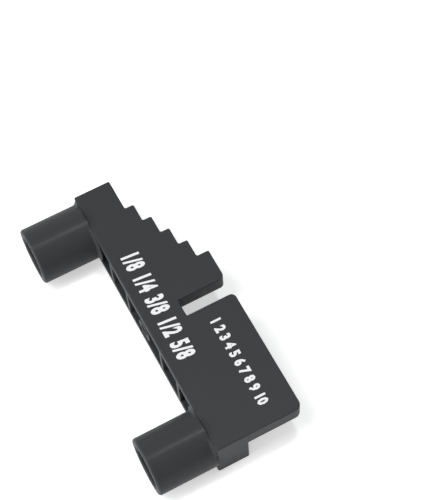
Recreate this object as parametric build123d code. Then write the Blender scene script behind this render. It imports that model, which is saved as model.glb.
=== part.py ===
from build123d import *
from math import radians, tan
import os

# Center finder: a marking gauge moulded in one piece from dark plastic.
# A thick bar carries a stepped plate along its top and two round hollow posts on its other side.
# Against a board's edge, the fence under the plate slides along the edge and the step walls guide the
# pencil. Turned so that the posts straddle the board, the hole midway between them marks the centre line.
#
# Frame: X runs along the bar, the steps lie at its -X end. Y runs from the posts to the plate.
# Z is up, out of the labelled face. The origin is on the axis of the pencil hole, midway between the
# posts, in the face that the posts stand on. All sizes are in millimetres.

INCH = 25.4

# Bar
bar_length = 4 * INCH
bar_thickness = 7 / 16 * INCH

# Plate, measured out from the fence, which is the bar's face under the plate
plate_reach = 3 / 4 * INCH
plate_thickness = INCH / 4

# Steps along the plate's free edge, from the narrow end; the lands between the first and the last are alike
first_offset = 2.0
offset_step = INCH / 8
step_count = 5
first_land = 11.95
last_land = 11.28

# Slot beside the centre line, open at the plate's free edge
slot_lead = 0.4
slot_width = 6.15

# Posts: their undersides are level with the bar's, and they stand proud of its ends and its top
post_diameter = 19.6
post_length = 13 / 16 * INCH
post_proud = 0.95
post_wall = 2.8
post_root_radius = 1.2
post_tip_bevel = 0.5
post_mouth_chamfer = 0.4

# Hole through the middle of the bar for the pencil's sharpened point, with its boss
pencil_hole_diameter = 4.5
pencil_boss_wall = 1.6

# Pockets that core out the bar from the post side
wall = 2.8
web = 2.8
rib_thickness = 1.6
ribs_each_side = 2
outer_rib_to_post = 8.15
pocket_corner_radius = 0.6
draft_angle = 0.75

# Rounding
step_corner_radius = 0.6
bar_corner_radius = 0.6
slot_inner_radius = 0.4
slot_mouth_radius = 1.8
flap_corner_radius = 2.4
edge_radius = 0.4

# Places that follow from the sizes above
half_length = bar_length / 2
post_radius = post_diameter / 2
top_z = post_radius - post_proud
bottom_z = -post_radius
bar_height = top_z - bottom_z
post_x = half_length + post_proud - post_radius
plate_edge_y = bar_thickness + plate_reach
first_step_y = bar_thickness + first_offset
slot_near_x = -slot_lead
slot_far_x = slot_near_x + slot_width
land = (half_length - slot_lead - first_land - last_land) / (step_count - 1)
rib_pitch = (post_x - post_radius - outer_rib_to_post) / ribs_each_side
pocket_depth = bar_thickness - web
pencil_hole_radius = pencil_hole_diameter / 2
pencil_boss_radius = pencil_hole_radius + pencil_boss_wall

# The plane of the face that the posts stand on: its x is the part's X and its y the part's Z
POST_FACE = Plane(origin=(0, 0, 0), x_dir=(1, 0, 0), z_dir=(0, -1, 0))


def rounded_face(corners):
    """A face through corners given as (x, y, radius), in order around it."""
    points = [(x, y) for x, y, radius in corners]
    radii = [radius for x, y, radius in corners]
    return make_face(FilletPolyline(*points, radius=radii, close=True))


def plan_corners():
    """Corners of the tool seen from above, from the narrow end of the post face."""
    corners = [
        (-half_length, 0, bar_corner_radius),
        (-half_length, first_step_y, step_corner_radius),
    ]
    for step in range(step_count):
        x = -half_length + first_land + step * land
        wall_y = first_step_y + step * offset_step
        next_y = first_step_y + (step + 1) * offset_step
        if step == step_count - 1:
            next_y = plate_edge_y
        corners.append((x, wall_y, step_corner_radius))
        corners.append((x, next_y, step_corner_radius))
    corners += [
        (slot_near_x, plate_edge_y, slot_mouth_radius),
        (slot_near_x, first_step_y, slot_inner_radius),
        (slot_far_x, first_step_y, slot_inner_radius),
        (slot_far_x, plate_edge_y, slot_mouth_radius),
        (half_length, plate_edge_y, flap_corner_radius),
        (half_length, 0, bar_corner_radius),
    ]
    return corners


def bar_corners():
    """Corners of the bar seen from above."""
    return [
        (-half_length, 0, bar_corner_radius),
        (-half_length, bar_thickness, bar_corner_radius),
        (half_length, bar_thickness, bar_corner_radius),
        (half_length, 0, bar_corner_radius),
    ]


def bar_and_plate():
    """The L-shaped body: the stepped plate over the fence, with its rims rounded."""
    plate = extrude(Pos(0, 0, top_z - plate_thickness) * rounded_face(plan_corners()), plate_thickness)
    bar = extrude(Pos(0, 0, bottom_z) * rounded_face(bar_corners()), bar_height)
    body = plate + bar
    top_rim = body.faces().sort_by(Axis.Z)[-1].outer_wire().edges()
    bottom_rim = body.faces().sort_by(Axis.Z)[0].outer_wire().edges()
    return fillet(top_rim + bottom_rim, edge_radius)


def post(x):
    """One post, with a small bevel around its tip."""
    shank = extrude(POST_FACE * Pos(x, 0) * Circle(post_radius), post_length)
    tip = shank.edges().sort_by(Axis.Y)[0]
    return chamfer(tip, post_tip_bevel)


def post_flare(x):
    """The concave flare at a post's root, cut off level with the bar's ends, top and underside."""
    reach = post_root_radius
    with BuildSketch(Plane.XY) as profile:
        with Locations((post_radius + reach / 2, -reach / 2)):
            Rectangle(reach, reach)
        with Locations((post_radius + reach, -reach)):
            Circle(reach, mode=Mode.SUBTRACT)
    ring = Pos(x, 0, 0) * revolve(profile.sketch, Axis.Y)
    keep = Pos(0, -reach / 2, (top_z + bottom_z) / 2) * Box(bar_length, reach, bar_height)
    return ring & keep


def pockets():
    """The hollows between the ribs, tapered so that the moulding leaves its tool."""
    height = bar_height - 2 * wall
    middle = Pos(0, (top_z + bottom_z) / 2)
    area = middle * Rectangle(2 * post_x, height)
    for side in (-1, 1):
        area -= Pos(side * post_x, 0) * Circle(post_radius)
        for rib in range(1, ribs_each_side + 1):
            area -= Pos(side * rib * rib_pitch, 0) * Rectangle(rib_thickness, 2 * bar_height)
    tools = []
    for face in area.faces():
        rounded = fillet(face.vertices(), pocket_corner_radius)
        tools.append(extrude(POST_FACE * rounded, -pocket_depth, taper=draft_angle))
    return tools


def post_bore(x):
    """The hollow of one post, from its bevelled mouth to the web, slightly narrower at its closed end."""
    mouth_radius = post_radius - post_wall
    mouth_y = -post_length
    end_radius = mouth_radius - (post_length + pocket_depth) * tan(radians(draft_angle))
    outline = Polyline(
        (0, mouth_y),
        (mouth_radius + post_mouth_chamfer, mouth_y),
        (mouth_radius, mouth_y + post_mouth_chamfer),
        (end_radius, pocket_depth),
        (0, pocket_depth),
        close=True,
    )
    return Pos(x, 0, 0) * revolve(make_face(outline), Axis.Y)


def pencil_boss():
    """The boss that carries the pencil's hole through the middle pocket, level with the ribs."""
    return extrude(POST_FACE * Circle(pencil_boss_radius), -pocket_depth, taper=-draft_angle)


def pencil_hole():
    """The hole for the pencil's point, with the pencil's way kept clear as far as the plate reaches."""
    return extrude(POST_FACE * Circle(pencil_hole_radius), -plate_edge_y)


def center_finder():
    part = bar_and_plate()
    for side in (-1, 1):
        part += post(side * post_x)
        part += post_flare(side * post_x)
    for pocket in pockets():
        part -= pocket
    for side in (-1, 1):
        part -= post_bore(side * post_x)
    part += pencil_boss()
    part -= pencil_hole()
    return part


os.makedirs("parts", exist_ok=True)
finder = center_finder()
finder.label = "center_finder"
export_step(finder, "parts/center_finder.step")
print("solids", len(finder.solids()), "volume", round(finder.volume, 1), "valid", finder.is_valid)
print("box", finder.bounding_box())
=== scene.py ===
import math

import bmesh
import bpy
from mathutils import Euler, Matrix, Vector


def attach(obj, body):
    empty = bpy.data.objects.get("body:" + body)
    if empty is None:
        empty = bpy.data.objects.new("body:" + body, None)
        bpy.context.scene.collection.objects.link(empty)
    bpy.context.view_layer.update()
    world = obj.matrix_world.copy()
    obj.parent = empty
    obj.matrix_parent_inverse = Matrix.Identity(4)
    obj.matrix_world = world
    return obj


MM = 0.001

# The labelled face and the lowest point of the part, in metres
LABELLED_FACE_Z = 8.85 * MM
FLOOR_Z = -9.8 * MM

# Camera: where it looks, from which side and height, how far off and how much it is rolled
LOOK_AT = Vector((-10.7, 31.7, 8.85)) * MM
CAMERA_AZIMUTH = math.radians(-23.4)
CAMERA_ELEVATION = math.radians(62.7)
CAMERA_DISTANCE = 504.7 * MM
CAMERA_ROLL = math.radians(-5.1)
LENS_MM = 111.5
SENSOR_MM = 36

# Rows of print on the labelled face. left, low, length and height are in millimetres. The rest is in the
# font's own units. Much finer curve steps make the thickened outlines cross themselves in tight corners.
OFFSETS_PRINT = {
    "text": "1/8 1/4 3/8 1/2 5/8",
    "left": -22.8,
    "low": 3.4,
    "length": 41.6,
    "height": 6.5,
    "slant": 0.15,
    "thicken": 0.045,
    "curve_steps": 3,
    "letter_gap": 1.14,
    "word_gap": 1.4,
}
SCALE_PRINT = {
    "text": "1 2 3 4 5 6 7 8 9 10",
    "left": 11.5,
    "low": 18.3,
    "length": 32.7,
    "height": 4.0,
    "slant": 0.0,
    "thicken": 0.050,
    "curve_steps": 2,
    "letter_gap": 1.04,
    "word_gap": 1.15,
}
PRINT_BELOW = 0.01 * MM
PRINT_ABOVE = 0.02 * MM
PRINT_MERGE = 0.001 * MM

# Colours of the moulding, from its darker to its paler flow marks, and where its edges are rubbed
BODY_DARK = (0.035, 0.037, 0.039, 1)
BODY_PALE = (0.042, 0.044, 0.047, 1)
BODY_RUBBED = (0.070, 0.073, 0.076, 1)
EDGE_WIDTH = 0.5 * MM

# Colours of the ink where it is thin and where it covers fully
INK_THIN = (0.80, 0.81, 0.82, 1)
INK_FULL = (0.88, 0.89, 0.89, 1)

# Floor: half its side, and how strongly it glows for the camera, near the part and far from it
FLOOR_REACH = 6.0
FLOOR_COLOUR = (0.88, 0.88, 0.88, 1)
GLOW_NEAR, GLOW_FAR = 0.46, 1.0
NEAR_DISTANCE, FAR_DISTANCE = 0.4, 1.6

ROOM_COLOUR = (0.96, 0.98, 1.0, 1)
ROOM_STRENGTH = 0.16

# Square lamps that face the part: place and side in metres, strength in watts, and colour
WHITE = (1, 1, 1)
COOL = (0.86, 0.94, 1.0)
LAMPS = (
    ("key", (-0.10, -0.45, 1.00), 0.50, 5.2, WHITE),
    ("window", (-0.10, 0.19, 1.10), 0.12, 2.5, WHITE),
    ("fill_left", (-1.1, -0.1, 0.45), 0.8, 2.2, COOL),
    ("fill_right", (0.8, -1.0, 0.25), 0.6, 4.1, WHITE),
    ("fill_front", (-0.1, -1.1, 0.35), 0.8, 7.5, WHITE),
    ("fill_back", (0.1, 1.2, 0.40), 0.8, 4.5, WHITE),
)


def socket(node, name, value):
    node.inputs[name].default_value = value


def place_in_scene(thing):
    bpy.context.scene.collection.objects.link(thing)


def new_material(name):
    material = bpy.data.materials.new(name)
    material.use_nodes = True
    nodes = material.node_tree.nodes
    nodes.clear()
    output = nodes.new("ShaderNodeOutputMaterial")
    return material, nodes, material.node_tree.links, output


def maths(nodes, links, operation, first, second):
    """The result of a Math node on two other nodes' outputs."""
    node = nodes.new("ShaderNodeMath")
    node.operation = operation
    links.new(first, node.inputs[0])
    links.new(second, node.inputs[1])
    return node.outputs["Value"]


def noise(nodes, links, coords, scale, detail, roughness=0.5):
    """A noise texture whose features are about 1/scale metres wide."""
    texture = nodes.new("ShaderNodeTexNoise")
    socket(texture, "Scale", scale)
    socket(texture, "Detail", detail)
    socket(texture, "Roughness", roughness)
    links.new(coords.outputs["Object"], texture.inputs["Vector"])
    return texture.outputs["Fac"]


def spread(nodes, links, source, low, high, from_low=0.3, from_high=0.7):
    """Maps a value between from_low and from_high onto the range from low to high."""
    ranged = nodes.new("ShaderNodeMapRange")
    socket(ranged, "From Min", from_low)
    socket(ranged, "From Max", from_high)
    socket(ranged, "To Min", low)
    socket(ranged, "To Max", high)
    links.new(source, ranged.inputs["Value"])
    return ranged.outputs["Result"]


def blended(nodes, links, factor, other):
    """A colour mix driven by factor, with other as its second colour. The first is set by the caller."""
    mix = nodes.new("ShaderNodeMix")
    mix.data_type = "RGBA"
    links.new(factor, mix.inputs["Factor"])
    socket(mix, "B", other)
    return mix


def bumped(nodes, links, height, strength, distance, normal=None):
    """A normal bent by a texture's height, on top of another normal where one is given."""
    bump = nodes.new("ShaderNodeBump")
    socket(bump, "Strength", strength)
    socket(bump, "Distance", distance)
    links.new(height, bump.inputs["Height"])
    if normal:
        links.new(normal, bump.inputs["Normal"])
    return bump.outputs["Normal"]


def moulded_plastic():
    """Dark moulded plastic: fine spark-eroded grain, faint flow marks and paler, rubbed edges."""
    material, nodes, links, output = new_material("moulded_plastic")
    shader = nodes.new("ShaderNodeBsdfPrincipled")
    coords = nodes.new("ShaderNodeTexCoord")
    grain = noise(nodes, links, coords, 2600, 3, 0.6)
    speckle = noise(nodes, links, coords, 900, 4, 0.6)
    flow = noise(nodes, links, coords, 55, 3)

    # An edge is where the rounded normal turns away from the surface's own
    bevel = nodes.new("ShaderNodeBevel")
    bevel.samples = 6
    socket(bevel, "Radius", EDGE_WIDTH)
    rounded = bevel.outputs["Normal"]
    geometry = nodes.new("ShaderNodeNewGeometry")
    turned = nodes.new("ShaderNodeVectorMath")
    turned.operation = "DOT_PRODUCT"
    links.new(rounded, turned.inputs[0])
    links.new(geometry.outputs["Normal"], turned.inputs[1])
    edge = spread(nodes, links, turned.outputs["Value"], 1.0, 0.0, 0.90, 0.995)
    rub = maths(nodes, links, "MULTIPLY", edge, spread(nodes, links, speckle, 0.05, 0.30))

    mottle = blended(nodes, links, spread(nodes, links, flow, 0.0, 0.35), BODY_PALE)
    socket(mottle, "A", BODY_DARK)
    rubbed = blended(nodes, links, rub, BODY_RUBBED)
    links.new(mottle.outputs["Result"], rubbed.inputs["A"])
    links.new(rubbed.outputs["Result"], shader.inputs["Base Color"])

    coarse = bumped(nodes, links, flow, 0.25, 0.15 * MM, rounded)
    fine = bumped(nodes, links, grain, 0.35, 0.03 * MM, coarse)
    links.new(fine, shader.inputs["Normal"])
    links.new(spread(nodes, links, speckle, 0.60, 0.72), shader.inputs["Roughness"])
    socket(shader, "Specular IOR Level", 0.20)
    socket(shader, "Coat Weight", 0.11)
    socket(shader, "Coat Roughness", 0.26)
    links.new(shader.outputs["BSDF"], output.inputs["Surface"])
    return material


def white_ink():
    """Pad-printed white ink: thin, slightly uneven and a little glossier than the plastic."""
    material, nodes, links, output = new_material("white_ink")
    shader = nodes.new("ShaderNodeBsdfPrincipled")
    coords = nodes.new("ShaderNodeTexCoord")
    cover = noise(nodes, links, coords, 1800, 3, 0.6)
    tone = blended(nodes, links, spread(nodes, links, cover, 0.3, 1.0), INK_FULL)
    socket(tone, "A", INK_THIN)
    links.new(tone.outputs["Result"], shader.inputs["Base Color"])
    links.new(spread(nodes, links, cover, 0.45, 0.6), shader.inputs["Roughness"])
    links.new(bumped(nodes, links, cover, 0.2, 0.01 * MM), shader.inputs["Normal"])
    links.new(shader.outputs["BSDF"], output.inputs["Surface"])
    return material


def raise_straight(mesh, height):
    """Turns a flat mesh whose faces look up into a closed slab with square, flat-shaded sides."""
    work = bmesh.new()
    work.from_mesh(mesh)
    bmesh.ops.remove_doubles(work, verts=work.verts[:], dist=PRINT_MERGE)
    bmesh.ops.dissolve_degenerate(work, edges=work.edges[:], dist=PRINT_MERGE)
    work.verts.index_update()
    low = [vert.co.copy() for vert in work.verts]
    outlines = [[vert.index for vert in face.verts] for face in work.faces]
    work.free()

    count = len(low)
    high = [point + Vector((0, 0, height)) for point in low]
    edges = [edge for outline in outlines for edge in zip(outline, outline[1:] + outline[:1])]
    shared = set(edges)
    top = [[index + count for index in outline] for outline in outlines]
    bottom = [outline[::-1] for outline in outlines]
    sides = [(a, b, b + count, a + count) for a, b in edges if (b, a) not in shared]
    mesh.clear_geometry()
    mesh.from_pydata(low + high, [], top + bottom + sides)


def flat_lettering(name, row):
    """A flat mesh of a row's text, in the font's own units."""
    curve = bpy.data.curves.new(name, "FONT")
    curve.body = row["text"]
    curve.size = 1.0
    curve.shear = row["slant"]
    curve.offset = row["thicken"]
    curve.space_character = row["letter_gap"]
    curve.space_word = row["word_gap"]
    curve.resolution_u = row["curve_steps"]
    lettering = bpy.data.objects.new(name + "_curve", curve)
    place_in_scene(lettering)
    bpy.context.view_layer.update()
    flat = bpy.data.meshes.new_from_object(lettering)
    bpy.data.objects.remove(lettering)
    return flat


def printed(name, row, material):
    """Raised print fitted to its block on the labelled face, as a mesh a few hundredths thick."""
    flat = flat_lettering(name, row)
    xs = [v.co.x for v in flat.vertices]
    ys = [v.co.y for v in flat.vertices]
    first_x = min(xs)
    first_y = min(ys)
    stretch = Vector((row["length"] / (max(xs) - first_x), row["height"] / (max(ys) - first_y)))
    for v in flat.vertices:
        v.co.x = (row["left"] + (v.co.x - first_x) * stretch.x) * MM
        v.co.y = (row["low"] + (v.co.y - first_y) * stretch.y) * MM
        v.co.z = LABELLED_FACE_Z - PRINT_BELOW
    raise_straight(flat, PRINT_BELOW + PRINT_ABOVE)
    flat.materials.append(material)
    piece = bpy.data.objects.new(name, flat)
    place_in_scene(piece)
    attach(piece, "root")


def square_lamp(name, place, side, strength, colour):
    """A square area light that faces the part."""
    lamp = bpy.data.lights.new(name, "AREA")
    lamp.energy = strength
    lamp.color = colour
    lamp.size = side
    holder = bpy.data.objects.new(name, lamp)
    holder.location = place
    holder.rotation_euler = (-Vector(place)).to_track_quat("-Z", "Y").to_euler()
    place_in_scene(holder)


def seen_only(nodes, links):
    """1 for what the camera, a reflection or a transparent surface shows, and 0 for light."""
    rays = nodes.new("ShaderNodeLightPath").outputs
    gloss = maths(nodes, links, "MAXIMUM", rays["Is Camera Ray"], rays["Is Glossy Ray"])
    return maths(nodes, links, "MAXIMUM", gloss, rays["Is Transmission Ray"])


def floor():
    """A plain white floor that keeps the part's soft shadow and stays white as far as it reaches."""
    mesh = bpy.data.meshes.new("floor")
    signs = ((-1, -1), (1, -1), (1, 1), (-1, 1))
    corners = [(x * FLOOR_REACH, y * FLOOR_REACH, 0) for x, y in signs]
    mesh.from_pydata(corners, [], [(0, 1, 2, 3)])
    plane = bpy.data.objects.new("floor", mesh)
    plane.location = (0, 0, FLOOR_Z)
    place_in_scene(plane)

    material, nodes, links, output = new_material("floor")
    diffuse = nodes.new("ShaderNodeBsdfDiffuse")
    socket(diffuse, "Color", FLOOR_COLOUR)
    coords = nodes.new("ShaderNodeTexCoord")
    away = nodes.new("ShaderNodeVectorMath")
    away.operation = "LENGTH"
    links.new(coords.outputs["Object"], away.inputs[0])
    distance = away.outputs["Value"]
    whiteness = spread(nodes, links, distance, GLOW_NEAR, GLOW_FAR, NEAR_DISTANCE, FAR_DISTANCE)
    glow = nodes.new("ShaderNodeEmission")
    links.new(whiteness, glow.inputs["Color"])
    links.new(seen_only(nodes, links), glow.inputs["Strength"])
    total = nodes.new("ShaderNodeAddShader")
    links.new(diffuse.outputs["BSDF"], total.inputs[0])
    links.new(glow.outputs["Emission"], total.inputs[1])
    links.new(total.outputs["Shader"], output.inputs["Surface"])
    mesh.materials.append(material)


def surroundings():
    """A soft grey room that looks white where the camera sees it."""
    world = bpy.data.worlds.new("room")
    bpy.context.scene.world = world
    world.use_nodes = True
    nodes = world.node_tree.nodes
    links = world.node_tree.links
    nodes.clear()
    output = nodes.new("ShaderNodeOutputWorld")
    room = nodes.new("ShaderNodeBackground")
    socket(room, "Color", ROOM_COLOUR)
    socket(room, "Strength", ROOM_STRENGTH)
    white = nodes.new("ShaderNodeBackground")
    socket(white, "Color", (1, 1, 1, 1))
    rays = nodes.new("ShaderNodeLightPath")
    choice = nodes.new("ShaderNodeMixShader")
    links.new(rays.outputs["Is Camera Ray"], choice.inputs["Fac"])
    links.new(room.outputs["Background"], choice.inputs[1])
    links.new(white.outputs["Background"], choice.inputs[2])
    links.new(choice.outputs["Shader"], output.inputs["Surface"])


def camera():
    lens = bpy.data.cameras.new("camera")
    lens.lens = LENS_MM
    lens.sensor_width = SENSOR_MM
    lens.sensor_fit = "AUTO"
    lens.clip_start = 10 * MM
    holder = bpy.data.objects.new("camera", lens)
    level = math.cos(CAMERA_ELEVATION)
    out = Vector((
        level * math.cos(CAMERA_AZIMUTH),
        level * math.sin(CAMERA_AZIMUTH),
        math.sin(CAMERA_ELEVATION),
    ))
    holder.location = LOOK_AT + out * CAMERA_DISTANCE
    turn = (-out).to_track_quat("-Z", "Y") @ Euler((0, 0, CAMERA_ROLL)).to_quaternion()
    holder.rotation_euler = turn.to_euler()
    place_in_scene(holder)
    bpy.context.scene.camera = holder


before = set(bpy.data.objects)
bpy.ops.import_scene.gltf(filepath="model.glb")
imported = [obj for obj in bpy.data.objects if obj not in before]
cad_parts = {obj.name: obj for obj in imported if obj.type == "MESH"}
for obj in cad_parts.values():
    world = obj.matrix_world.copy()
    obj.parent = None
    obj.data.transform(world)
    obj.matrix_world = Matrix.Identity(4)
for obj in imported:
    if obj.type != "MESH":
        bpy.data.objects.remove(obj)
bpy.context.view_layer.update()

plastic = moulded_plastic()
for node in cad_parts.values():
    for material_slot in node.material_slots:
        material_slot.material = plastic

ink = white_ink()
printed("print_offsets", OFFSETS_PRINT, ink)
printed("print_scale", SCALE_PRINT, ink)

floor()
surroundings()
for name, place, side, strength, colour in LAMPS:
    square_lamp(name, place, side, strength, colour)
camera()
bpy.context.scene.view_settings.view_transform = "Standard"
